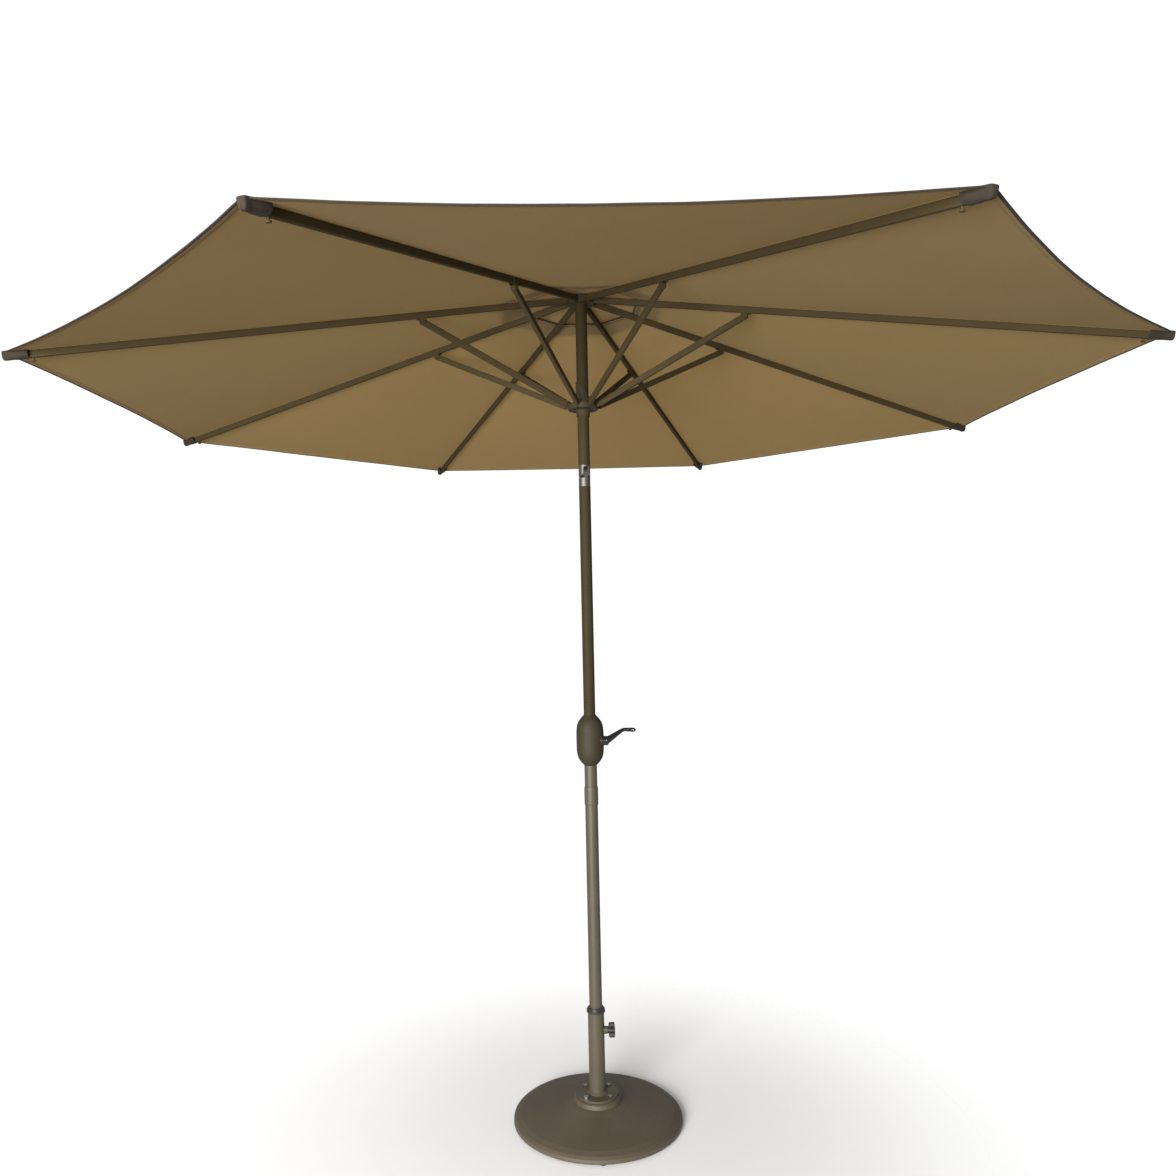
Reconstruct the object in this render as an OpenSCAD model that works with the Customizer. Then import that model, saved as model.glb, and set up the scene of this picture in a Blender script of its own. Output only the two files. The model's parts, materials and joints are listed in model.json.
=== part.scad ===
// Market umbrella, 3.05 m, crank lift and push-button tilt, on a weighted base.
// Millimetres. The ground is z = 0, the pole's axis is x = y = 0, and the crank is on the +X side.

/* [Canopy] */
// Horizontal distance from the pole's axis to a rib tip, so half the canopy's width across corners
canopy_r = 1525; // [1200:5:1650]
// How far a rib tip hangs below the hub's pivots
tip_drop = 301; // [150:1:450]
// Height of the rib pivots above the ground
hub_z = 2450; // [2200:5:2700]
// Thickness of the canopy plates that stand for the fabric
cloth_t = 1.0; // [0.6:0.1:3]
// Inward bow of each hem between two rib tips
hem_bow = 30; // [0:1:100]
// Radius of the vent opening in the main canopy, measured at a rib
vent_r = 175; // [100:1:250]
// Radius of the vent cap over the opening, measured at a rib
cap_r = 265; // [180:1:350]
// Half of the fold clearance down the middle of a gore, in degrees at the peak
fold_gap = 1.14; // [0.5:0.01:2]

/* [Ribs and struts] */
// Width of a rib tube
rib_w = 12; // [10:0.5:20]
// Depth of a rib tube
rib_d = 18; // [14:0.5:26]
// Wall of the rib and strut tubes
rib_wall = 1.1; // [0.8:0.1:2]
// Distance from a rib's tip to the knob that closes the canopy's corner pocket
knob_in = 58; // [30:1:120]
// Radius of the circle of rib pivots on the hub
hub_pivot_r = 30; // [26:0.5:36]
// Distance from the axis to a strut's bracket on the open rib
bracket_r = 497; // [350:1:650]
// Distance from a rib's centreline to the strut pivot under it
bracket_drop = 18.5; // [18:0.5:24]
// Width of a strut tube
strut_w = 12; // [8:0.5:12]
// Depth of a strut tube
strut_d = 17.5; // [10:0.5:17]
// Radius of the circle of strut pivots on the runner
run_pivot_r = 40; // [36:0.5:48]
// Height of the hub's pivots above the runner's pivots when open
run_drop = 322.7; // [280:0.1:380]

/* [Pole] */
// Outside diameter of the upper tubes
pole_d = 35; // [30:0.1:40]
// Wall of the upper tubes
pole_wall = 1.4; // [1:0.1:2.5]
// Outside diameter of the lower tube
foot_d = 38.1; // [34:0.1:44]
// Wall of the lower tube
foot_wall = 1.3; // [1:0.1:2.5]
// Height of the tilt pivot
tilt_z = 1929; // [1750:1:2000]
// Angle of the tilt pivot's axis from +X
tilt_az = 15; // [-90:1:90]
// Height of the crank's axis
crank_z = 1125; // [1000:1:1250]
// Height of the top end of the lower tube
joint_z = 958; // [850:1:1000]

/* [Crank housing] */
// Greatest width of the housing
house_w = 82; // [72:1:100]
// Height of the housing
house_h = 150; // [120:1:180]
// Wall of the housing
house_wall = 2.6; // [2:0.1:4]
// Direction of the crank's axis, in degrees from +X
crank_az = -25; // [-45:1:0]
// Radius of the circle that the crank's grip turns on
crank_r = 60; // [45:1:75]
// Angle of the resting crank arm from straight up, towards the back
crank_rest = 62; // [0:1:90]

/* [Base] */
// Diameter of the base
base_d = 500; // [400:5:600]
// Wall of the cast base
base_wall = 11; // [8:0.5:16]
// Height of the top of the stem
stem_top = 318; // [260:1:340]
// Outside diameter of the stem
stem_d = 48.3; // [46:0.1:60]
// Wall of the stem
stem_wall = 2.6; // [1.5:0.1:4]

/* [Hidden] */
$fn = 64;
bronze = [0.23, 0.18, 0.12];
dark = [0.10, 0.08, 0.06];
cloth = [0.55, 0.45, 0.30];
silver = [0.72, 0.71, 0.69];
black = [0.05, 0.05, 0.05];

rib_a = atan2(tip_drop, canopy_r - hub_pivot_r);
rib_len = norm([tip_drop, canopy_r - hub_pivot_r]);
bracket_s = (bracket_r - hub_pivot_r) / cos(rib_a);
brk_x = hub_pivot_r + bracket_s * cos(rib_a) - bracket_drop * sin(rib_a);
brk_z = -bracket_s * sin(rib_a) - bracket_drop * cos(rib_a);
strut_dx = brk_x - run_pivot_r;
strut_dz = run_drop + brk_z;
strut_len = norm([strut_dx, strut_dz]);
strut_a = 180 - atan2(strut_dz, strut_dx);
crease_n = rib_d / 2 + 1.5;
apex_s = -(hub_pivot_r + crease_n * sin(rib_a)) / cos(rib_a);
tip_x = rib_len - apex_s;
apex_ang = acos(pow(cos(rib_a), 2) * cos(45) + pow(sin(rib_a), 2)) / 2;
gore_lean = -atan(sin(rib_a) * (1 - cos(45)) / sin(45));
pole_r = pole_d / 2;
bore_r = pole_r - pole_wall;
foot_r = foot_d / 2;
stem_r = stem_d / 2;
house_r = house_w / 2;
snap_az = 100;
socket_h = 42;
head_h = 22;
tongue = 5.8;
button_drop = 28;
screw_x = 25;
screw_z = 42;
sleeve_r = pole_r + 1.3;
grip_x0 = house_r + 54;
grip_x1 = house_r + 83;
pin_r = 2;
cord_r = 1.5;
cord_y = 11.5;
sheave_r = 9;
sheave_z = hub_z + 15;
axle_r = 7;

// A rectangle with true round corners.
module soft_rect(w, h, r) {
  square([w - 2 * r, h], center = true);
  square([w, h - 2 * r], center = true);
  for (x = [-1, 1])
    for (y = [-1, 1])
      translate([x * (w / 2 - r), y * (h / 2 - r)])
        circle(r);
}

module tube(ro, ri, z0, z1) {
  translate([0, 0, z0])
    difference() {
      cylinder(r = ro, h = z1 - z0);
      translate([0, 0, -1])
        cylinder(r = ri, h = z1 - z0 + 2);
    }
}

// A hollow bar of w by d along +X from x0 to x1.
module bar(w, d, wall, x0, x1) {
  translate([x0, 0, 0])
    rotate([90, 0, 90])
      difference() {
        linear_extrude(x1 - x0)
          soft_rect(w, d, 2.6);
        translate([0, 0, -1])
          linear_extrude(x1 - x0 + 2)
            soft_rect(w - 2 * wall, d - 2 * wall, 1.5);
      }
}

module rod_y(r, y0, y1) {
  translate([0, y0, 0])
    rotate([-90, 0, 0])
      cylinder(r = r, h = y1 - y0);
}

module rod_x(r, x0, x1) {
  translate([x0, 0, 0])
    rotate([0, 90, 0])
      cylinder(r = r, h = x1 - x0);
}

// Puts a child that is drawn along +X on rib k's line.
module on_rib(k) {
  rotate([0, 0, 22.5 + 45 * (k - 1)])
    translate([hub_pivot_r, 0, hub_z])
      rotate([0, rib_a, 0])
        children();
}

// Puts a child that is drawn about the housing's centre, with the crank's axis along +X, in its place.
module at_crank() {
  translate([0, 0, crank_z])
    rotate([0, 0, crank_az])
      children();
}

// Puts a child that is drawn about the tilt pivot, with the pivot's axis along +X, in its place.
module at_tilt() {
  translate([0, 0, tilt_z])
    rotate([0, 0, tilt_az])
      children();
}

// The flat blade and eye at a bar's end, centred on the pivot.
module eye(r, w, reach, d, bore) {
  difference() {
    union() {
      rod_y(r, -w / 2, w / 2);
      translate([0, -w / 2, -d / 2])
        cube([reach, w, d]);
    }
    rod_y(bore, -w, w);
  }
}

module base_weight() {
  color(dark)
    rotate_extrude($fn = 128)
      polygon([
        [19.3, 30], [19.3, 74], [66, 74], [70, 71], [72, 60], [100, 52], [165, 40],
        [226, 29], [base_d / 2 - 8, 22], [base_d / 2 - 1, 16], [base_d / 2, 9], [base_d / 2, 5],
        [base_d / 2 - base_wall, 5], [base_d / 2 - base_wall, 11], [222, 29 - base_wall],
        [163, 40 - base_wall], [98, 52 - base_wall], [74, 58 - base_wall], [48, 46], [44, 20],
        [0, 20], [0, 30]
      ]);
}

module base_feet() {
  color(black)
    for (i = [0:5])
      rotate([0, 0, 60 * i + 30])
        translate([base_d / 2 - 15, 0, 0])
          cylinder(r = 11, h = 5);
}

module base_stem() {
  color(bronze)
    difference() {
      union() {
        translate([0, 0, 74])
          cylinder(r = 62, h = 6);
        translate([0, 0, 80])
          cylinder(r = stem_r, h = stem_top - 80);
        translate([0, 0, 80])
          rotate_extrude()
            polygon([[stem_r - 1, 0], [stem_r + 7, 0], [stem_r, 7], [stem_r - 1, 7]]);
        translate([0, 0, 262])
          rod_x(11, stem_r - 3, stem_r + 9);
      }
      translate([0, 0, 70])
        cylinder(r = stem_r - stem_wall, h = stem_top);
      translate([0, 0, 262])
        rod_x(4.06, 10, 60);
      for (i = [0:3])
        rotate([0, 0, 90 * i + 45])
          translate([49, 0, 70])
            cylinder(r = 4.3, h = 20);
    }
}

module stem_bolts() {
  color(silver)
    for (i = [0:3])
      rotate([0, 0, 90 * i + 45])
        translate([49, 0, 74]) {
          cylinder(r = 4, h = 7);
          translate([0, 0, 6])
            cylinder(r = 7.5, h = 5.3, $fn = 6);
        }
}

module stem_collar() {
  color(black)
    rotate_extrude()
      polygon([
        [foot_r + 0.15, stem_top - 30], [stem_r - stem_wall - 0.05, stem_top - 30],
        [stem_r - stem_wall - 0.05, stem_top], [stem_r + 3.5, stem_top],
        [stem_r + 3.5, stem_top + 6], [stem_r - 1, stem_top + 14], [foot_r + 0.15, stem_top + 14]
      ]);
}

module clamp_knob() {
  color(black)
    translate([0, 0, 262]) {
      rod_x(4, foot_r + 0.05, stem_r + 16);
      difference() {
        union() {
          rod_x(17, stem_r + 13, stem_r + 31);
          rod_x(10, stem_r + 9.5, stem_r + 14);
          for (i = [0:4])
            rotate([72 * i, 0, 0])
              translate([0, 0, 15])
                rod_x(7, stem_r + 14, stem_r + 30);
        }
        for (i = [0:4])
          rotate([72 * i + 36, 0, 0])
            translate([0, 0, 21])
              rod_x(5.5, stem_r, stem_r + 40);
      }
    }
}

module lower_pole() {
  color(bronze)
    difference() {
      tube(foot_r, foot_r - foot_wall, 30, joint_z);
      translate([0, 0, joint_z - 34])
        rotate([0, 0, snap_az])
          rod_x(4.1, 10, 30);
    }
}

module pole_collar() {
  color(bronze)
    rotate_extrude()
      polygon([
        [foot_r + 0.05, joint_z - 26], [19.9, joint_z - 26], [20.6, joint_z - 22],
        [20.6, joint_z + 20], [20, joint_z + 27], [18.6, joint_z + 31],
        [pole_r + 0.05, joint_z + 31], [pole_r + 0.05, joint_z], [foot_r + 0.05, joint_z]
      ]);
}

module snap_button() {
  color(silver)
    translate([0, 0, joint_z - 34])
      rotate([0, 0, snap_az]) {
        rod_x(4, bore_r - 1.5, foot_r + 1.6);
        rod_x(5.6, bore_r - 3, bore_r - 1.2);
      }
}

// The tube that the winch stands on, with a sleeve over it down to the joint's collar.
module main_pole_lower() {
  color(bronze)
    difference() {
      union() {
        tube(pole_r, bore_r, joint_z - 150, crank_z - house_h / 2 + 26);
        tube(sleeve_r, pole_r - 0.1, joint_z + 31.3, crank_z - house_h / 2 - 0.3);
      }
      translate([0, 0, joint_z - 34])
        rotate([0, 0, snap_az])
          rod_x(4.1, 10, 30);
    }
}

module main_pole_upper() {
  color(bronze)
    tube(pole_r, bore_r, crank_z + house_h / 2 - 26, tilt_z - socket_h);
}

// The housing's outline as a solid of revolution, g smaller all round.
module house_body(g) {
  h = house_h / 2;
  neck = pole_r + 1.4;
  rotate_extrude($fn = 96)
    polygon(concat(
      [[0, -h]],
      [for (a = [-90:7.5:90])
        [neck - g + (house_r - neck) * pow(1 - pow(abs(sin(a)), 4.5), 1.2), h * sin(a)]],
      [[0, h]]
    ));
}

module housing() {
  h = house_h / 2;
  difference() {
    union() {
      difference() {
        house_body(0);
        intersection() {
          house_body(house_wall);
          translate([0, 0, -h + 26])
            cylinder(r = house_r, h = house_h - 52);
        }
      }
      rod_x(15, house_r - 6, house_r + 2);
      intersection() {
        house_body(0.5);
        for (x = [-1, 1])
          for (z = [-1, 1])
            translate([x * screw_x, 0, z * screw_z])
              rod_y(5, -40, 40);
      }
    }
    rod_x(axle_r + 0.06, 0, house_r + 20);
    for (s = [-1, 1])
      translate([0, 0, s * (h - 12) - 20])
        cylinder(r = pole_r + 0.05, h = 40);
    for (x = [-1, 1])
      for (z = [-1, 1])
        translate([x * screw_x, 0, z * screw_z]) {
          rod_y(1.6, -20, 40);
          rod_y(3.8, 22, 60);
        }
  }
}

module housing_front() {
  color(bronze)
    at_crank()
      intersection() {
        housing();
        translate([-100, -200, -150])
          cube([200, 200 - 0.05, 300]);
      }
}

module housing_back() {
  color(bronze)
    at_crank()
      intersection() {
        housing();
        translate([-100, 0.05, -150])
          cube([200, 200, 300]);
      }
}

module housing_screws() {
  color(black)
    at_crank()
      for (x = [-1, 1])
        for (z = [-1, 1])
          translate([x * screw_x, 0, z * screw_z])
            difference() {
              union() {
                rod_y(1.5, -18, 23);
                rod_y(3.5, 22, 24.4);
              }
              translate([0, 25, 0])
                cube([1, 2.6, 4.6], center = true);
            }
}

module crank_spool() {
  color(silver)
    at_crank() {
      rod_x(axle_r, -16, house_r + 12);
      rod_x(cord_y - cord_r, -11, 11);
      rod_x(16, -13, -10.5);
      rod_x(16, 10.5, 13);
    }
}

// A boss on the axle, an arm that sweeps out from it, and the spindle that the grip turns on.
module crank_arm() {
  color(black)
    at_crank()
      rotate([-crank_rest, 0, 0])
        difference() {
          union() {
            rod_x(14, house_r + 2.5, house_r + 15);
            hull() {
              translate([house_r + 13, 0, 2])
                sphere(r = 10.5, $fn = 30);
              translate([house_r + 42, 0, crank_r - 6])
                sphere(r = 5.6, $fn = 30);
            }
            hull() {
              translate([house_r + 42, 0, crank_r - 6])
                sphere(r = 5.6, $fn = 30);
              translate([house_r + 49, 0, crank_r])
                sphere(r = 5.6, $fn = 30);
            }
            translate([0, 0, crank_r]) {
              rod_x(5.6, house_r + 48, grip_x0 - 0.4);
              rod_x(2.5, grip_x0 - 2, grip_x1 + 1.6);
              rod_x(3.6, grip_x1 + 0.3, grip_x1 + 1.6);
            }
          }
          rod_x(axle_r + 0.05, house_r - 1, house_r + 12.05);
        }
}

module crank_grip() {
  color(black)
    at_crank()
      rotate([-crank_rest, 0, 0])
        translate([0, 0, crank_r])
          rotate([0, 90, 0])
            rotate_extrude()
              polygon([
                [2.56, grip_x0], [5.4, grip_x0], [5.9, grip_x0 + 2], [6.1, grip_x0 + 12],
                [6.6, grip_x0 + 20], [6.3, grip_x1 - 5], [5.2, grip_x1 - 1], [4.2, grip_x1],
                [2.56, grip_x1]
              ]);
}

// The lower half of the tilt joint: a spigot in the pole and a tongue with a round top.
module tilt_socket() {
  r = pole_r - 0.1;
  color(silver)
    at_tilt()
      difference() {
        union() {
          translate([0, 0, -socket_h - 38])
            cylinder(r = bore_r - 0.05, h = 39);
          translate([0, 0, -socket_h])
            cylinder(r = r, h = socket_h - 16.5);
          intersection() {
            translate([0, 0, -socket_h])
              cylinder(r = r, h = socket_h + 20);
            union() {
              rod_x(15, -tongue, tongue);
              translate([-tongue, -15, -18])
                cube([2 * tongue, 30, 18]);
            }
          }
        }
        rod_x(4.05, -30, 30);
        translate([0, 0, -socket_h - 60])
          cylinder(r = 13.4, h = 60 + socket_h - 35);
        translate([0, 0, -button_drop])
          rod_y(5.6, 4, 30);
      }
}

// The upper half: a fork with round lower ends, and a spigot in the upper pole.
module tilt_head() {
  r = pole_r - 0.1;
  color(silver)
    at_tilt()
      difference() {
        union() {
          translate([0, 0, head_h - 1])
            cylinder(r = bore_r - 0.05, h = 39);
          translate([0, 0, 16])
            cylinder(r = r, h = head_h - 16);
          intersection() {
            translate([0, 0, -20])
              cylinder(r = r, h = 38);
            union() {
              rod_x(15, -20, 20);
              translate([-20, -15, 0])
                cube([40, 30, 18]);
            }
          }
        }
        translate([-tongue - 0.2, -20, -40])
          cube([2 * tongue + 0.4, 40, 40 + 16.5]);
        rod_x(4.05, -30, 30);
        translate([0, 0, head_h])
          cylinder(r = 13.4, h = 60);
        cylinder(r = 7.5, h = 60);
      }
}

module tilt_pin() {
  color(silver)
    at_tilt()
      rod_x(4, -16.9, 16.9);
}

module tilt_button() {
  color(black)
    at_tilt()
      translate([0, 0, -button_drop])
        difference() {
          rod_y(5.5, 9, pole_r - 0.2);
          translate([0, pole_r + 8.5, 0])
            sphere(r = 10);
        }
}

module upper_pole() {
  color(bronze)
    tube(pole_r, bore_r, tilt_z + head_h, hub_z - 2);
}

module top_hub() {
  color(dark)
    difference() {
      union() {
        translate([0, 0, hub_z - 11])
          cylinder(r = 40, h = 23);
        translate([0, 0, hub_z + 12])
          rotate_extrude()
            polygon([[0, 0], [36, 0], [36, 11], [32, 17], [24, 20], [0, 20]]);
      }
      translate([0, 0, hub_z - 20])
        cylinder(r = pole_r + 0.05, h = 18);
      translate([0, 0, hub_z - 20])
        cylinder(r = 14.5, h = 34);
      for (k = [0:7])
        rotate([0, 0, 22.5 + 45 * k])
          translate([20.2, -2.7, hub_z - 20])
            cube([30, 5.4, 32.01]);
      translate([-4.5, 8, hub_z - 20])
        cube([9, 25, 47]);
      translate([0, 0, hub_z + 20])
        cylinder(r = 4.1, h = 30);
    }
  color(silver)
    for (k = [0:7])
      rotate([0, 0, 22.5 + 45 * k])
        translate([hub_pivot_r, 0, hub_z])
          rod_y(pin_r, -6, 6);
}

module pulley() {
  color(silver)
    translate([0, cord_y + sheave_r, sheave_z]) {
      rotate([0, 90, 0])
        rotate_extrude()
          polygon([
            [0, -3], [10.6, -3], [10.6, -2.1], [sheave_r - cord_r - 0.1, -1.7],
            [sheave_r - cord_r - 0.1, 1.7], [10.6, 2.1], [10.6, 3], [0, 3]
          ]);
      rod_x(2, -4.4, 4.4);
    }
}

module finial() {
  color(bronze) {
    translate([0, 0, hub_z + 24])
      cylinder(r = 4, h = 14);
    translate([0, 0, hub_z + 32.2])
      rotate_extrude()
        union() {
          polygon([
            [0, 0], [26, 0], [27, 2.5], [24, 5], [13, 8], [9.5, 13], [9, 18], [12, 22],
            [16, 26], [0, 40]
          ]);
          translate([0, 38])
            intersection() {
              circle(18);
              translate([0, -20])
                square([20, 40]);
            }
          translate([0, 54])
            square([5, 6]);
        }
  }
}

module lift_cord() {
  color(silver)
    translate([0, cord_y, 0]) {
      translate([0, 0, tilt_z + head_h + 4])
        cylinder(r = cord_r, h = sheave_z - tilt_z - head_h - 4);
      translate([0, 2 * sheave_r, hub_z - run_drop + 10.2])
        cylinder(r = cord_r, h = sheave_z - hub_z + run_drop - 10.2);
      translate([0, sheave_r, sheave_z])
        rotate([90, 0, 90])
          rotate_extrude(angle = 180)
            translate([sheave_r, 0])
              circle(cord_r, $fn = 24);
    }
}

module lift_cord_lower() {
  color(silver)
    at_crank()
      translate([0, cord_y, 0])
        cylinder(r = cord_r, h = tilt_z - crank_z - socket_h + 4);
}

// A ring of strut pivots on a sleeve, with the sleeve's top cut on a slant.
module runner() {
  z = hub_z - run_drop;
  bore = pole_r + 0.8;
  color(dark) {
    difference() {
      union() {
        translate([0, 0, z])
          rotate_extrude()
            polygon([
              [bore, -28], [20.3, -28], [20.8, -12], [24, -9], [44, -9], [46, -7], [46, 7],
              [44, 9], [24, 9], [21, 13], [20.6, 76], [bore, 76]
            ]);
        translate([-5, 21, z])
          cube([10, 11, 10]);
      }
      translate([0, 0, z + 54])
        rotate([0, 50, 0])
          translate([-60, -60, 0])
            cube([120, 120, 80]);
      for (k = [0:7])
        rotate([0, 0, 22.5 + 45 * k])
          translate([29.5, -2.7, z - 20])
            cube([30, 5.4, 40]);
    }
    for (k = [0:7])
      rotate([0, 0, 22.5 + 45 * k])
        translate([run_pivot_r, 0, z])
          rod_y(pin_r, -6, 6);
  }
}

module rib(k) {
  color(bronze)
    on_rib(k) {
      bar(rib_w, rib_d, rib_wall, 18, rib_len - 20);
      difference() {
        union() {
          rod_y(8.5, -2.2, 2.2);
          translate([0, -2.2, -8])
            cube([30, 4.4, 16]);
          translate([18.5, -rib_w / 2 + 0.6, -rib_d / 2 + 0.6])
            cube([12, rib_w - 1.2, rib_d - 1.2]);
        }
        rod_y(pin_r + 0.06, -10, 10);
      }
      // Bracket, with its pin, that the strut hangs from.
      translate([bracket_s, 0, 0])
        for (m = [0, 1])
          mirror([0, m, 0]) {
            translate([-15, rib_w / 2 - 0.2, -rib_d / 2])
              cube([30, 1.9, rib_d - 5]);
            translate([-15, strut_w / 2 + 0.5, -rib_d / 2 - 3])
              cube([30, rib_w / 2 + 1.7 - strut_w / 2 - 0.5, 3.5]);
            translate([0, 0, -bracket_drop])
              rod_y(7.5, strut_w / 2 + 0.5, rib_w / 2 + 1.7);
            translate([-7.5, strut_w / 2 + 0.5, -bracket_drop])
              cube([15, rib_w / 2 + 1.2 - strut_w / 2, bracket_drop - rib_d / 2]);
            translate([0, 0, -bracket_drop])
              rod_y(2.5, 0, rib_w / 2 + 2);
            translate([0, 0, -bracket_drop])
              rod_y(4.4, rib_w / 2 + 1.5, rib_w / 2 + 3.6);
          }
      // End cap, and the knob that closes the canopy's corner pocket.
      translate([rib_len - 24, 0, 0])
        rotate([90, 0, 90]) {
          linear_extrude(24)
            soft_rect(rib_w - 2 * rib_wall - 0.1, rib_d - 2 * rib_wall - 0.1, 1.4);
          translate([0, 0, 4])
            linear_extrude(20)
              soft_rect(rib_w + 1.6, rib_d + 0.6, 3.4);
        }
      translate([rib_len - knob_in, 0, -rib_d / 2 - 7])
        cylinder(r = 2.6, h = 8.5);
      translate([rib_len - knob_in, 0, -rib_d / 2 - 9])
        cylinder(r = 5, h = 3);
    }
}

module strut(k) {
  color(bronze)
    rotate([0, 0, 22.5 + 45 * (k - 1)])
      translate([brk_x, 0, hub_z + brk_z])
        rotate([0, strut_a, 0]) {
          bar(strut_w, strut_d, rib_wall, 9, strut_len - 16);
          eye(strut_d / 2, strut_w, 12, strut_d - 2.4, 2.56);
          translate([strut_len, 0, 0])
            mirror([1, 0, 0])
              eye(6.5, 4.4, 26, 11, pin_r + 0.06);
          translate([strut_len - 24, -strut_w / 2 + 0.6, -strut_d / 2 + 0.6])
            cube([8.5, strut_w - 1.2, strut_d - 1.2]);
        }
}

// Half of a gore from the crease on its rib to the middle of the bay, lying in the bay's plane.
// x is measured from the peak along the rib, and y across the gore.
module half_gore_flat(x0, x1, edge, bow, gap) {
  m0 = x0 * cos(apex_ang);
  m1 = x1 * cos(apex_ang);
  a = apex_ang - gap;
  hem = [for (t = [0:0.125:1])
    let (cx = x1 + t * (m1 * cos(apex_ang) - x1), cy = t * m1 * sin(apex_ang),
      b = bow * (1 - (1 - t) * (1 - t)), k = tan(a) / tan(apex_ang))
    [cx - b * cos(apex_ang), max(edge, (cy - b * sin(apex_ang)) * k)]];
  polygon(concat([[x0, edge]], hem, [[m0 * cos(a), m0 * sin(a)]]));
}

module half_gore(k, side) {
  color(cloth)
    on_rib(k)
      mirror([0, side, 0])
        translate([apex_s, 0, crease_n])
          rotate([gore_lean, 0, 0]) {
            translate([0, 0, -cloth_t / 2])
              linear_extrude(cloth_t)
                half_gore_flat(vent_r / cos(rib_a), tip_x, 2.5, hem_bow, fold_gap);
            translate([0, 0, cloth_t / 2 + 0.7])
              linear_extrude(cloth_t)
                half_gore_flat(47 / cos(rib_a), cap_r / cos(rib_a), 6.5, 10, fold_gap);
          }
}

base_weight();
base_feet();
base_stem();
stem_bolts();
stem_collar();
clamp_knob();
lower_pole();
pole_collar();
snap_button();
main_pole_lower();
main_pole_upper();
housing_front();
housing_back();
housing_screws();
crank_spool();
crank_arm();
crank_grip();
tilt_socket();
tilt_head();
tilt_pin();
tilt_button();
upper_pole();
top_hub();
pulley();
finial();
runner();
lift_cord();
lift_cord_lower();
rib(1);  // rib_1
rib(2);  // rib_2
rib(3);  // rib_3
rib(4);  // rib_4
rib(5);  // rib_5
rib(6);  // rib_6
rib(7);  // rib_7
rib(8);  // rib_8
strut(1);  // strut_1
strut(2);  // strut_2
strut(3);  // strut_3
strut(4);  // strut_4
strut(5);  // strut_5
strut(6);  // strut_6
strut(7);  // strut_7
strut(8);  // strut_8
half_gore(1, 0);  // gore_1_left
half_gore(1, 1);  // gore_1_right
half_gore(2, 0);  // gore_2_left
half_gore(2, 1);  // gore_2_right
half_gore(3, 0);  // gore_3_left
half_gore(3, 1);  // gore_3_right
half_gore(4, 0);  // gore_4_left
half_gore(4, 1);  // gore_4_right
half_gore(5, 0);  // gore_5_left
half_gore(5, 1);  // gore_5_right
half_gore(6, 0);  // gore_6_left
half_gore(6, 1);  // gore_6_right
half_gore(7, 0);  // gore_7_left
half_gore(7, 1);  // gore_7_right
half_gore(8, 0);  // gore_8_left
half_gore(8, 1);  // gore_8_right
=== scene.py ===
"""Looks of the market umbrella on its CAD frame: canopy cloth, corner pockets, finishes, light and camera."""

import json
import math

import bpy
from mathutils import Matrix, Vector, noise


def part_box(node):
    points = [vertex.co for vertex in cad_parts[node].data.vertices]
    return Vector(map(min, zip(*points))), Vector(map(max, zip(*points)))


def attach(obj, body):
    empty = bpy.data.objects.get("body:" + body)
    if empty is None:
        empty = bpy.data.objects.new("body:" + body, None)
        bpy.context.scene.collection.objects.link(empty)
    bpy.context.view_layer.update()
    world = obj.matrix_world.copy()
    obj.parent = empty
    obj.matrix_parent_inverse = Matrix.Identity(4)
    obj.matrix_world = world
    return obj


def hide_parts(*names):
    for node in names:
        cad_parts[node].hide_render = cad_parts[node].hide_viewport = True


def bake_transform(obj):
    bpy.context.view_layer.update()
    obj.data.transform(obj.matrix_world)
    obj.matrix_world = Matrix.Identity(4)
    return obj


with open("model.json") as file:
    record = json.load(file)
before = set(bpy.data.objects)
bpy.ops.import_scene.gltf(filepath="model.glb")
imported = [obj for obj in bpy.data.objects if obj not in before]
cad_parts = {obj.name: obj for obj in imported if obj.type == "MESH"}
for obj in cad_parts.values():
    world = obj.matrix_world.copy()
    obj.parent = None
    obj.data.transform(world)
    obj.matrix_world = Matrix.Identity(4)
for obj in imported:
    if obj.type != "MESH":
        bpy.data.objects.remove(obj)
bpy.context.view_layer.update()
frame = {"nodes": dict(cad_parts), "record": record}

JOINTS = {j["name"]: j for j in frame["record"]["behaviour"]["joints"]}
RIB_COUNT = 8
RIBS = range(1, RIB_COUNT + 1)
SIDES = {"left": 1, "right": -1}
UP = Vector((0, 0, 1))

# Canopy outline, in metres: level distances from the pole's axis, and how far each hem curves inwards
VENT_R = 0.175
CAP_R = 0.265
CAP_IN_R = 0.030
HEM_BOW = 0.030
CAP_BOW = 0.010
CORNER_R = 0.022
CORNER_CUT = 0.006

# How far the cloth leaves the flat between two ribs, in metres
HEM_DROP = 0.013
BELLY = 0.006
CAP_GAP = 0.0036
CAP_FLARE = 0.017

# Widths and thicknesses of the sewing, in metres
HEM_W = 0.016
HEM_T = 0.0026
BINDING_W = 0.0055
SEAM_W = 0.009
SEAM_UP = 0.0009
SEAM_DOWN = 0.0013
CLOTH_T = 0.0008
STITCH_IN = 0.002
STITCH_HALF_W = 0.0004
STITCH_PITCH = 0.0036

# Mesh of a half-bay: rows from peak to hem and columns from rib to mid-bay, then in metres the close
# steps where the cloth changes thickness
MAIN_GRID = (46, 22)
CAP_GRID = (14, 8)
FOLD_STEP = 0.0006
BINDING_STEP = 0.0005
HEM_EASE = 0.0025
SEAM_EASE = 0.0016

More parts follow.
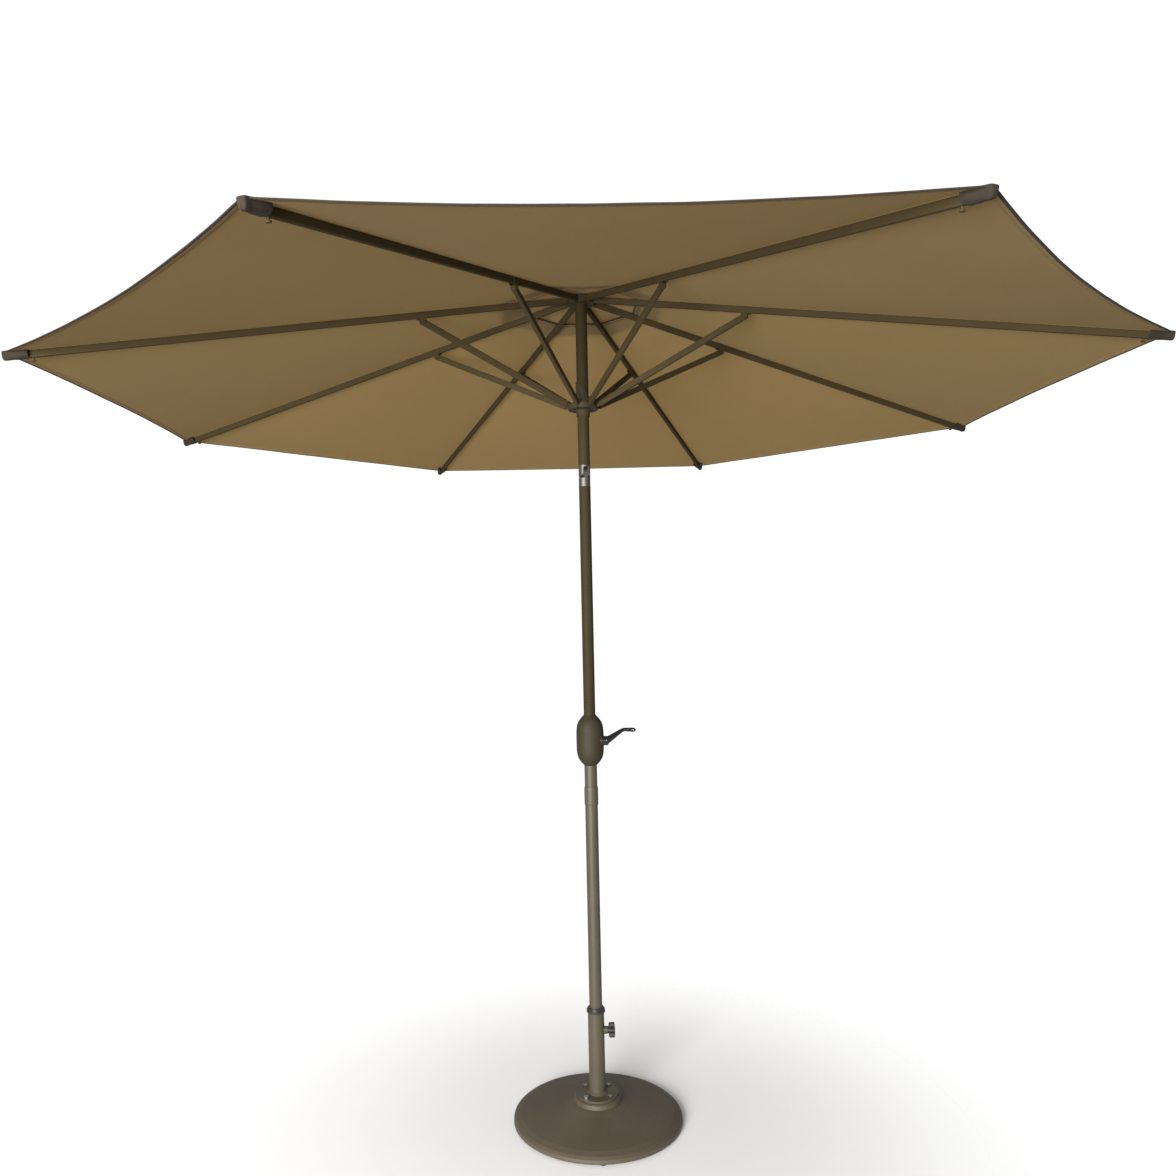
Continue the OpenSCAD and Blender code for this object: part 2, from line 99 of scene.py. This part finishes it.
# Corner pocket on a rib's end, in metres: its section is deepest below the rib and widest at its mouth
POCKET_L = 0.052
POCKET_T = 0.0010
POCKET_DEPTH = 0.0190
POCKET_TOP = 0.0014
POCKET_HALF_TIP = 0.0082
POCKET_HALF_MOUTH = 0.0185
POCKET_WRINKLE = 0.0004
POCKET_WAVES = 260
POCKET_STEPS = 48
POCKET_ROWS = 14

# The photograph's camera, fitted to the rib tips and the pole: its turn is yaw, pitch and roll in degrees
LENS_MM = 29.46
SENSOR_MM = 36
LENS_SHIFT = (0.0281, 0.0068)
CAMERA_PLACE = (-0.1308, -2.8945, 1.503)
CAMERA_TURN = (0.678, 1.115, -1.186)

# Light: lamps in watts, the white surroundings as the camera and as the object sees them, and the
# distances in metres between which the floor fades out
SKY_WATTS = 300
FRONT_WATTS = 480
BACKDROP = 1.05
ROOM_LIGHT = 0.32
FLOOR_NEAR = 0.3
FLOOR_FAR = 1.5


# ---------------------------------------------------------------- camera and light


def camera():
    """The photograph's own view: below the canopy, nearly level, with a slight roll."""
    data = bpy.data.cameras.new("camera")
    data.sensor_width = SENSOR_MM
    data.lens = LENS_MM
    data.shift_x, data.shift_y = LENS_SHIFT
    yaw, pitch, roll = (math.radians(angle) for angle in CAMERA_TURN)
    forward = Vector((math.sin(yaw) * math.cos(pitch), math.cos(yaw) * math.cos(pitch), math.sin(pitch)))
    level = Vector((math.cos(yaw), -math.sin(yaw), 0))
    above = level.cross(forward)
    right = math.cos(roll) * level + math.sin(roll) * above
    up = math.cos(roll) * above - math.sin(roll) * level
    obj = bpy.data.objects.new("camera", data)
    turn = Matrix((right, up, -forward)).transposed().to_4x4()
    obj.matrix_world = Matrix.Translation(CAMERA_PLACE) @ turn
    bpy.context.collection.objects.link(obj)
    bpy.context.scene.camera = obj


def area_light(name, place, target, size, watts):
    """A round white lamp that faces its target."""
    data = bpy.data.lights.new(name, "AREA")
    data.shape = "DISK"
    data.size = size
    data.energy = watts
    obj = bpy.data.objects.new(name, data)
    obj.location = place
    obj.rotation_euler = (Vector(target) - Vector(place)).to_track_quat("-Z", "Y").to_euler()
    bpy.context.collection.objects.link(obj)


def studio():
    """A white backdrop, a soft sky above the canopy, a weak front light and a floor that fades out."""
    bpy.context.scene.view_settings.view_transform = "Standard"
    world = bpy.data.worlds.new("studio")
    world.use_nodes = True
    tree = world.node_tree
    ray = tree.nodes.new("ShaderNodeLightPath")
    strength = tree.nodes.new("ShaderNodeMapRange")
    strength.inputs["To Min"].default_value = ROOM_LIGHT
    strength.inputs["To Max"].default_value = BACKDROP
    tree.links.new(ray.outputs["Is Camera Ray"], strength.inputs["Value"])
    tree.links.new(strength.outputs["Result"], tree.nodes["Background"].inputs["Strength"])
    tree.nodes["Background"].inputs["Color"].default_value = (1, 1, 1, 1)
    bpy.context.scene.world = world
    area_light("sky", place=(0, 1.8, 5.8), target=(0, 0.3, 2.2), size=5.0, watts=SKY_WATTS)
    area_light("front", place=(-1.8, -4.3, 1.5), target=(0, 0, 1.6), size=2.2, watts=FRONT_WATTS)
    bpy.ops.mesh.primitive_circle_add(vertices=96, radius=6, fill_type="NGON", location=(0, 0, -0.0005))
    floor = bpy.context.object
    floor.name = "floor"
    floor.data.materials.append(fading_floor("floor_paint", (0.88, 0.88, 0.88), FLOOR_NEAR, FLOOR_FAR))


# ---------------------------------------------------------------- materials


class Graph:
    """A material's node tree, with short calls for the few nodes that the finishes use."""

    def __init__(self, name):
        self.material = bpy.data.materials.new(name)
        self.material.use_nodes = True
        self.tree = self.material.node_tree
        self.shader = self.tree.nodes["Principled BSDF"]
        self.output = self.tree.nodes["Material Output"]
        self.place = self.add("ShaderNodeTexCoord").outputs["Object"]

    def add(self, kind, **values):
        node = self.tree.nodes.new(kind)
        for key, value in values.items():
            setattr(node, key, value)
        return node

    def link(self, source, target):
        self.tree.links.new(source, target)

    def noise(self, scale, detail=4.0, place=None):
        node = self.add("ShaderNodeTexNoise")
        node.inputs["Scale"].default_value = scale
        node.inputs["Detail"].default_value = detail
        node.inputs["Roughness"].default_value = 0.55
        self.link(place or self.place, node.inputs["Vector"])
        return node.outputs["Fac"]

    def math(self, operation, a, b=None):
        node = self.add("ShaderNodeMath", operation=operation)
        for socket, value in zip(node.inputs, (a, b)):
            if value is None:
                continue
            if isinstance(value, (int, float)):
                socket.default_value = value
            else:
                self.link(value, socket)
        return node.outputs[0]

    def ramp(self, factor, low, high, start=0.3, end=0.7):
        node = self.add("ShaderNodeValToRGB")
        for stop, place, colour in zip(node.color_ramp.elements, (start, end), (low, high)):
            stop.position = place
            stop.color = (*colour, 1)
        self.link(factor, node.inputs["Fac"])
        return node.outputs["Color"]

    def mix(self, factor, a, b):
        """Mixes two colours. Each is a tuple or a socket, and 6, 7 and 2 are the node's colour sockets."""
        node = self.add("ShaderNodeMix", data_type="RGBA")
        self.link(factor, node.inputs["Factor"])
        for socket, value in ((node.inputs[6], a), (node.inputs[7], b)):
            if isinstance(value, tuple):
                socket.default_value = (*value, 1)
            else:
                self.link(value, socket)
        return node.outputs[2]

    def stretched(self, source, scale):
        node = self.add("ShaderNodeMapping")
        node.inputs["Scale"].default_value = scale
        self.link(source, node.inputs["Vector"])
        return node.outputs["Vector"]

    def blend_shaders(self, factor, a, b):
        """Mixes two shaders by a socket or a number and puts the result on the surface."""
        node = self.add("ShaderNodeMixShader")
        if isinstance(factor, float):
            node.inputs["Fac"].default_value = factor
        else:
            self.link(factor, node.inputs["Fac"])
        self.link(a.outputs["BSDF"], node.inputs[1])
        self.link(b.outputs["BSDF"], node.inputs[2])
        self.link(node.outputs["Shader"], self.output.inputs["Surface"])

    def span(self, factor, low, high):
        node = self.add("ShaderNodeMapRange")
        node.inputs["To Min"].default_value = low
        node.inputs["To Max"].default_value = high
        self.link(factor, node.inputs["Value"])
        return node.outputs["Result"]

    def bump(self, height, strength, distance, under=None):
        node = self.add("ShaderNodeBump")
        node.inputs["Strength"].default_value = strength
        node.inputs["Distance"].default_value = distance
        self.link(height, node.inputs["Height"])
        if under:
            self.link(under, node.inputs["Normal"])
        return node.outputs["Normal"]


def shade(colour, part):
    return tuple(part * c for c in colour)


def fading_floor(name, colour, near, far):
    """Matt paint that turns clear between two distances from the floor's middle."""
    g = Graph(name)
    g.link(g.ramp(g.noise(1.5), shade(colour, 0.98), colour), g.shader.inputs["Base Color"])
    g.shader.inputs["Roughness"].default_value = 0.9
    reach = g.add("ShaderNodeVectorMath", operation="LENGTH")
    g.link(g.place, reach.inputs[0])
    fade = g.add("ShaderNodeMapRange", interpolation_type="SMOOTHSTEP")
    fade.inputs["From Min"].default_value = near
    fade.inputs["From Max"].default_value = far
    g.link(reach.outputs["Value"], fade.inputs["Value"])
    g.blend_shaders(fade.outputs["Result"], g.shader, g.add("ShaderNodeBsdfTransparent"))
    return g.material


def finish(name, colour, rough, grain, depth, metallic=0.0, shine=0.5, coat=0.0, spread=0.06):
    """A coated, moulded or cast surface: fine grain, patchy gloss and slow changes of tone."""
    g = Graph(name)
    dark = shade(colour, 0.82)
    tone = g.ramp(g.noise(9, 3), dark, colour, 0.35, 0.65)
    speck = g.ramp(g.noise(grain * 0.6, 2), dark, colour, 0.42, 0.58)
    g.link(g.mix(g.noise(3, 2), tone, speck), g.shader.inputs["Base Color"])
    g.link(g.span(g.noise(24, 5), rough - spread, rough + spread), g.shader.inputs["Roughness"])
    g.shader.inputs["Metallic"].default_value = metallic
    g.shader.inputs["Specular IOR Level"].default_value = shine
    g.shader.inputs["Coat Weight"].default_value = coat
    g.shader.inputs["Coat Roughness"].default_value = 0.12
    g.link(g.bump(g.noise(grain, 3), 0.6, depth), g.shader.inputs["Normal"])
    return g.material


def brushed(name, colour, rough):
    """Bare metal with fine upright lines."""
    g = Graph(name)
    lines = g.noise(1.0, 2, place=g.stretched(g.place, (1400, 1400, 40)))
    g.link(g.ramp(lines, shade(colour, 0.78), colour), g.shader.inputs["Base Color"])
    g.link(g.span(g.noise(60, 4), rough - 0.08, rough + 0.1), g.shader.inputs["Roughness"])
    g.shader.inputs["Metallic"].default_value = 1.0
    g.link(g.bump(lines, 0.35, 0.00002), g.shader.inputs["Normal"])
    return g.material


def sewn_lines(g, weave, edge):
    """A mask of dashes: one line inside each seam, and one inside each hem."""
    lines = []
    for across, along, far in (("X", "Y", SEAM_W - STITCH_IN), ("Y", "X", HEM_W - STITCH_IN)):
        off = g.math("ABSOLUTE", g.math("SUBTRACT", edge.outputs[across], far))
        near = g.math("LESS_THAN", off, STITCH_HALF_W)
        phase = g.math("MULTIPLY", weave.outputs[along], 2 * math.pi / STITCH_PITCH)
        dash = g.math("GREATER_THAN", g.math("SINE", phase), -0.45)
        lines.append(g.math("MULTIPLY", near, dash))
    return g.math("MAXIMUM", *lines)


def thread_tone(g, weave_uv, colour):
    """Uneven yarns along and across the cloth, with a slow cloudiness over them."""
    yarns = [g.noise(1.0, 3, place=g.stretched(weave_uv, scale)) for scale in ((900, 30, 1), (30, 900, 1))]
    threads = g.math("ADD", *yarns)
    tone = g.ramp(g.math("MULTIPLY", threads, 0.5), shade(colour, 0.86), colour, 0.36, 0.62)
    cloud = g.ramp(g.noise(2.2, 4), shade(colour, 0.93), colour, 0.35, 0.65)
    return g.mix(g.span(g.noise(5, 2), 0.35, 0.65), tone, cloud)


def cloth(name, colour, glow, through, pitch=0.0009):
    """Plain-woven polyester that lets some light through, with sewn lines beside each seam and hem."""
    g = Graph(name)
    weave_uv = g.add("ShaderNodeUVMap", uv_map="weave").outputs["UV"]
    edge_uv = g.add("ShaderNodeUVMap", uv_map="edge").outputs["UV"]
    weave = g.add("ShaderNodeSeparateXYZ")
    g.link(weave_uv, weave.inputs[0])
    edge = g.add("ShaderNodeSeparateXYZ")
    g.link(edge_uv, edge.inputs[0])
    marks = sewn_lines(g, weave, edge)
    tone = g.mix(marks, thread_tone(g, weave_uv, colour), shade(colour, 0.45))
    g.link(tone, g.shader.inputs["Base Color"])
    g.shader.inputs["Roughness"].default_value = 0.82
    g.shader.inputs["Specular IOR Level"].default_value = 0.15
    g.shader.inputs["Sheen Weight"].default_value = 0.04
    g.shader.inputs["Sheen Roughness"].default_value = 0.45
    turn = 2 * math.pi / pitch
    warp, weft = (g.math("SINE", g.math("MULTIPLY", weave.outputs[axis], turn)) for axis in "XY")
    weave_bump = g.bump(g.math("MULTIPLY", warp, weft), 0.35, 0.00012)
    g.link(g.bump(marks, 0.8, 0.0005, weave_bump), g.shader.inputs["Normal"])
    lit = g.add("ShaderNodeBsdfTranslucent")
    g.link(g.mix(marks, glow, shade(glow, 0.4)), lit.inputs["Color"])
    g.blend_shaders(through, g.shader, lit)
    return g.material


def paint_frame():
    """Gives every CAD node that shows its finish."""
    powder = {"grain": 900, "depth": 0.00003}
    plastic = {"grain": 520, "depth": 0.00006}
    bronze = finish("bronze_coat", (0.082, 0.070, 0.046), 0.48, metallic=0.1, shine=0.35, **powder)
    # The upper pole gets a darker copy of the same bronze coat: painted shade where the canopy shades it.
    bronze_painted_shade = finish("bronze_coat_painted_shade", (0.040, 0.031, 0.014), 0.60, shine=0.06, **powder)
    bronze_dark = finish("bronze_coat_dark", (0.058, 0.042, 0.019), 0.60, shine=0.06, **powder)
    iron = finish("cast_coat", (0.085, 0.066, 0.042), 0.55, grain=420, depth=0.00018, metallic=0.15)
    moulded = finish("moulded_bronze", (0.034, 0.028, 0.014), 0.66, shine=0.25, **plastic)
    hub = finish("moulded_dark", (0.045, 0.034, 0.018), 0.60, shine=0.12, **plastic)
    gloss = finish("gloss_black", (0.012, 0.011, 0.011), 0.26, 300, 0.00001, coat=0.25, spread=0.04)
    satin = finish("satin_black", (0.022, 0.021, 0.020), 0.42, grain=500, depth=0.00005)
    rubber = finish("rubber", (0.025, 0.024, 0.024), 0.75, grain=350, depth=0.0001)
    zinc = brushed("cast_zinc", (0.17, 0.160, 0.150), 0.56)
    steel = brushed("plated_steel", (0.42, 0.40, 0.36), 0.30)
    braid = finish("cord_braid", (0.45, 0.43, 0.38), 0.8, grain=1500, depth=0.0003)
    looks = {
        "base_weight": iron, "base_feet": rubber, "base_stem": bronze, "stem_bolts": steel,
        "stem_collar": satin, "clamp_knob": satin, "lower_pole": bronze, "pole_collar": bronze,
        "snap_button": steel, "main_pole_lower": bronze, "main_pole_upper": bronze_painted_shade,
        "housing_front": moulded, "housing_back": moulded, "housing_screws": steel,
        "crank_spool": steel, "crank_arm": gloss, "crank_grip": gloss, "tilt_socket": zinc,
        "tilt_head": zinc, "tilt_pin": steel, "tilt_button": satin, "upper_pole": bronze_painted_shade,
        "top_hub": hub, "pulley": zinc, "finial": moulded, "runner": hub,
        "lift_cord": braid, "lift_cord_lower": braid,
    }
    for k in RIBS:
        looks[f"rib_{k}"] = bronze_dark
        looks[f"strut_{k}"] = bronze_dark
    for name, material in looks.items():
        mesh = frame["nodes"][name].data
        mesh.materials.clear()
        mesh.materials.append(material)


# ---------------------------------------------------------------- cloth


class Bay:
    """The flat half-bay from rib k's crease to the middle of the bay on one side, with its own axes."""

    def __init__(self, k, side):
        self.k, self.side = k, side
        fold = JOINTS[f"gore_{k}_{side}_fold"]
        crease_point = Vector(fold["pos_m"])
        self.along = Vector(fold["axis"]).normalized() * SIDES[side]
        self.peak = crease_point - self.along * (crease_point.xy.length / self.along.xy.length)
        turn = Matrix.Rotation(math.radians(360 / RIB_COUNT) * SIDES[side], 3, "Z")
        self.middle = (self.along + turn @ self.along).normalized()
        self.half_angle = self.along.angle(self.middle)
        self.across = (self.along - self.middle * self.along.dot(self.middle)).normalized()
        self.normal = self.middle.cross(self.across).normalized()
        if self.normal.z < 0:
            self.normal.negate()

    def point(self, x, y, lift):
        return self.peak + self.middle * x + self.across * y + self.normal * lift

    def reach(self):
        """Distance from the canopy's peak to the rib's tip, along the crease."""
        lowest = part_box(f"gore_{self.k}_{self.side}")[0][2]
        return (self.peak.z - lowest) / -self.along.z


def smooth(t):
    t = min(max(t, 0.0), 1.0)
    return t * t * (3 - 2 * t)


def grid_steps(rows, columns):
    """Rows from the inner hem to the outer one, and columns from rib to mid-bay, closer at each fold."""
    hem = (0.0, FOLD_STEP, BINDING_W, BINDING_W + BINDING_STEP, HEM_W - FOLD_STEP, HEM_W, HEM_W + HEM_EASE)
    row_list = [("in", d) for d in hem]
    row_list += [("free", i / rows) for i in range(1, rows)]
    row_list += [("out", d) for d in reversed(hem)]
    column_list = [("seam", d) for d in (0.0, SEAM_W - FOLD_STEP, SEAM_W, SEAM_W + SEAM_EASE)]
    column_list += [("free", j / columns) for j in range(1, columns + 1)]
    return row_list, column_list


def grid_point(bay, inner_x, edge_x, bow, row, column):
    """A grid point's way down the half-bay (x) and out from its middle (y), and the hem's x beside it."""
    kind, value = row
    way, part = column
    slope = math.tan(bay.half_angle)
    lean = math.cos(bay.half_angle)
    edge_y = edge_x * slope
    x = edge_x
    # The hem curves with y, and y follows x, so a few rounds settle the three.
    for _ in range(6):
        side_y = x * slope
        if way == "seam":
            y = side_y - part / lean
        else:
            y = (side_y - SEAM_W / lean) * (1 - part)
        corner = max(0.0, 1 - (edge_y - y) / CORNER_R)
        hem_x = edge_x - bow * (1 - (y / edge_y) ** 2) - CORNER_CUT * corner ** 2
        if kind == "in":
            x = inner_x + value
        elif kind == "out":
            x = hem_x - value
        else:
            x = inner_x + HEM_W + (hem_x - inner_x - 2 * HEM_W) * value
    return x, y, hem_x


def cloth_mesh(name, bay, inner, outer, bow, grid, lift):
    """A thin closed sheet over a half-bay. lift(place, f, s) raises it off the flat.

    f runs from 0 at the inner hem to 1 at the outer one, and s from 0 at the rib to 1 at mid-bay.
    """
    slope = math.tan(bay.half_angle)
    inner_x = inner * math.cos(bay.half_angle)
    edge_x = outer * math.cos(bay.half_angle)
    row_list, column_list = grid_steps(*grid)
    top, bottom, facts = [], [], []
    for row in row_list:
        for column in column_list:
            x, y, hem_x = grid_point(bay, inner_x, edge_x, bow, row, column)
            crease = (x * slope - y) * math.cos(bay.half_angle)
            hem = min(hem_x - x, x - inner_x)
            f = (x - inner_x) / (hem_x - inner_x)
            s = 1 - y / (x * slope)
            raise_by = lift(bay.point(x, y, 0), f, s)
            up, down = thickness(crease, hem)
            top.append(bay.point(x, y, raise_by + up))
            bottom.append(bay.point(x, y, raise_by - down))
            facts.append((y * SIDES[bay.side], x, crease, hem))
    obj = sheet_object(name, top, bottom, facts, len(row_list), len(column_list), SIDES[bay.side] > 0)
    bind_hem(obj, facts)
    return obj


def bind_hem(obj, facts):
    """Gives the faces within the binding's width the second material."""
    count = len(facts)
    for face in obj.data.polygons:
        depth = max(facts[i % count][3] for i in face.vertices)
        face.material_index = 1 if depth < BINDING_W + 0.0001 else 0


def sheet_object(name, top, bottom, facts, rows, columns, flip):
    """Joins a top and a bottom grid of points into one closed mesh with a sharp rim.

    Each point's facts are its place on the flat cloth (the weave map) and its distances from the rib's
    crease and from the hem (the edge map).
    """
    count = rows * columns
    faces = []

    def at(r, c):
        return r * columns + c

    for r in range(rows - 1):
        for c in range(columns - 1):
            quad = [at(r, c), at(r + 1, c), at(r + 1, c + 1), at(r, c + 1)]
            faces.append(quad)
            faces.append([i + count for i in reversed(quad)])
    border = [at(0, c) for c in range(columns)]
    border += [at(r, columns - 1) for r in range(1, rows)]
    border += [at(rows - 1, c) for c in reversed(range(columns - 1))]
    border += [at(r, 0) for r in reversed(range(1, rows - 1))]
    for a, b in zip(border, border[1:] + border[:1]):
        faces.append([a, b, b + count, a + count])
    if flip:
        faces = [list(reversed(face)) for face in faces]
    mesh = bpy.data.meshes.new(name)
    mesh.from_pydata([tuple(p) for p in top + bottom], [], faces)
    weave = mesh.uv_layers.new(name="weave")
    edge = mesh.uv_layers.new(name="edge")
    for loop in mesh.loops:
        fact = facts[loop.vertex_index % count]
        weave.data[loop.index].uv = fact[:2]
        edge.data[loop.index].uv = fact[2:]
    mesh.shade_smooth()
    mesh.validate()
    rim = set(border)
    for line in mesh.edges:
        a, b = line.vertices
        line.use_edge_sharp = a % count in rim and b % count in rim
    obj = bpy.data.objects.new(name, mesh)
    bpy.context.collection.objects.link(obj)
    return obj


def thickness(crease, hem):
    """How far the cloth reaches above and below its middle: a felled seam on the rib and a bound hem."""
    if hem < HEM_W - FOLD_STEP / 2:
        return HEM_T / 2, HEM_T / 2
    if crease < SEAM_W - FOLD_STEP / 2:
        return CLOTH_T / 2 + SEAM_UP, SEAM_DOWN
    return CLOTH_T / 2, CLOTH_T / 2


def main_lift(place, f, s):
    """Sag between the ribs, more towards the hem, and the faint ripples that tension leaves."""
    spread = 1 - (1 - s) ** 2
    belly = BELLY * math.sin(math.pi * f ** 0.8)
    ripple = 0.0011 * noise.noise(place * 4.0) + 0.0005 * noise.noise(place * 13.0)
    return ripple * smooth(s * 6) - spread * (belly + HEM_DROP * f ** 1.5)


def cap_lift(place, f, s):
    """The vent cap stands off the canopy between the ribs, most at its hem."""
    spread = 1 - (1 - s) ** 2
    ripple = 0.0012 * noise.noise(place * 14.0) * smooth(s * 5)
    return CAP_GAP + CAP_FLARE * spread * f + ripple


def hang(piece):
    """Bakes a half-bay of cloth's placement into its mesh's points.
    """
    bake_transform(piece)


def canopy(main_cloth, cap_cloth, binding):
    """Eight gores and the vent cap's eight, each in two halves that meet in the middle of a bay."""
    for k in RIBS:
        for side in SIDES:
            bay = Bay(k, side)
            level = bay.along.xy.length
            outer = bay.reach()
            vent, cap_out, cap_in = (r / level for r in (VENT_R, CAP_R, CAP_IN_R))
            main = cloth_mesh(f"cloth_{k}_{side}", bay, vent, outer, HEM_BOW, MAIN_GRID, main_lift)
            cap = cloth_mesh(f"cap_{k}_{side}", bay, cap_in, cap_out, CAP_BOW, CAP_GRID, cap_lift)
            main.data.materials.append(main_cloth)
            cap.data.materials.append(cap_cloth)
            for piece in (main, cap):
                piece.data.materials.append(binding)
            hang(main)
            hang(cap)
            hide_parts(f"gore_{k}_{side}")


def soft_square(wave, power):
    """A sine or cosine made fuller, so that a round section turns into a rounded square."""
    return math.copysign(abs(wave) ** power, wave)


def corner_pocket(k, material):
    """The sewn corner of the canopy: a short sleeve, closed at its end, that slips over a rib's end."""
    bay = Bay(k, "left")
    tangent = UP.cross(bay.along).normalized()
    normal = bay.along.cross(tangent).normalized()
    if normal.z < 0:
        normal.negate()
    tip = bay.peak + bay.along * bay.reach()
    # Each row: distance inwards from the rib's end, and the part of the full section there
    rows = [(-0.0040, 0.02), (-0.0038, 0.30), (-0.0033, 0.62)]
    rows += [(-0.0024, 0.85), (-0.0009, 0.96), (0.0015, 1.0)]
    rows += [(POCKET_L * i / POCKET_ROWS, 1.0) for i in range(2, POCKET_ROWS + 1)]
    # In radians: the sheet stops short of a full turn under the rib, where the pocket's own seam is.
    seam_gap = 0.012
    middle = 0.45 * POCKET_DEPTH
    inner, outer, facts = [], [], []
    for inwards, part in rows:
        open_by = smooth(inwards / POCKET_L)
        half = POCKET_HALF_TIP + (POCKET_HALF_MOUTH - POCKET_HALF_TIP) * open_by
        wrinkle = POCKET_WRINKLE * math.sin(inwards * POCKET_WAVES)
        for i in range(POCKET_STEPS + 1):
            turn = seam_gap + (2 * math.pi - 2 * seam_gap) * i / POCKET_STEPS
            across = soft_square(math.sin(turn), 0.6)
            down = soft_square(math.cos(turn), 0.7)
            for points, more in ((inner, 0.0), (outer, POCKET_T)):
                depth = (POCKET_DEPTH + wrinkle if down > 0 else POCKET_TOP) + more
                side = (half + more) * part * across
                sink = middle + (depth * down - middle) * part
                points.append(tip - bay.along * inwards + tangent * side - normal * sink)
            facts.append((turn * half, inwards, 1.0, 1.0))
    obj = sheet_object(f"pocket_{k}", inner, outer, facts, len(rows), POCKET_STEPS + 1, False)
    obj.data.materials.append(material)
    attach(obj, f"rib_{k}")
    return obj


paint_frame()
dark_trim = cloth("trim_cloth", (0.034, 0.025, 0.017), (0.05, 0.035, 0.02), 0.06)
canopy(
    cloth("canopy_cloth", (0.335, 0.235, 0.108), (0.505, 0.40, 0.212), 0.45),
    cloth("cap_cloth", (0.31, 0.215, 0.11), (0.47, 0.37, 0.20), 0.43),
    dark_trim,
)
for number in RIBS:
    pocket = corner_pocket(number, dark_trim)
camera()
studio()
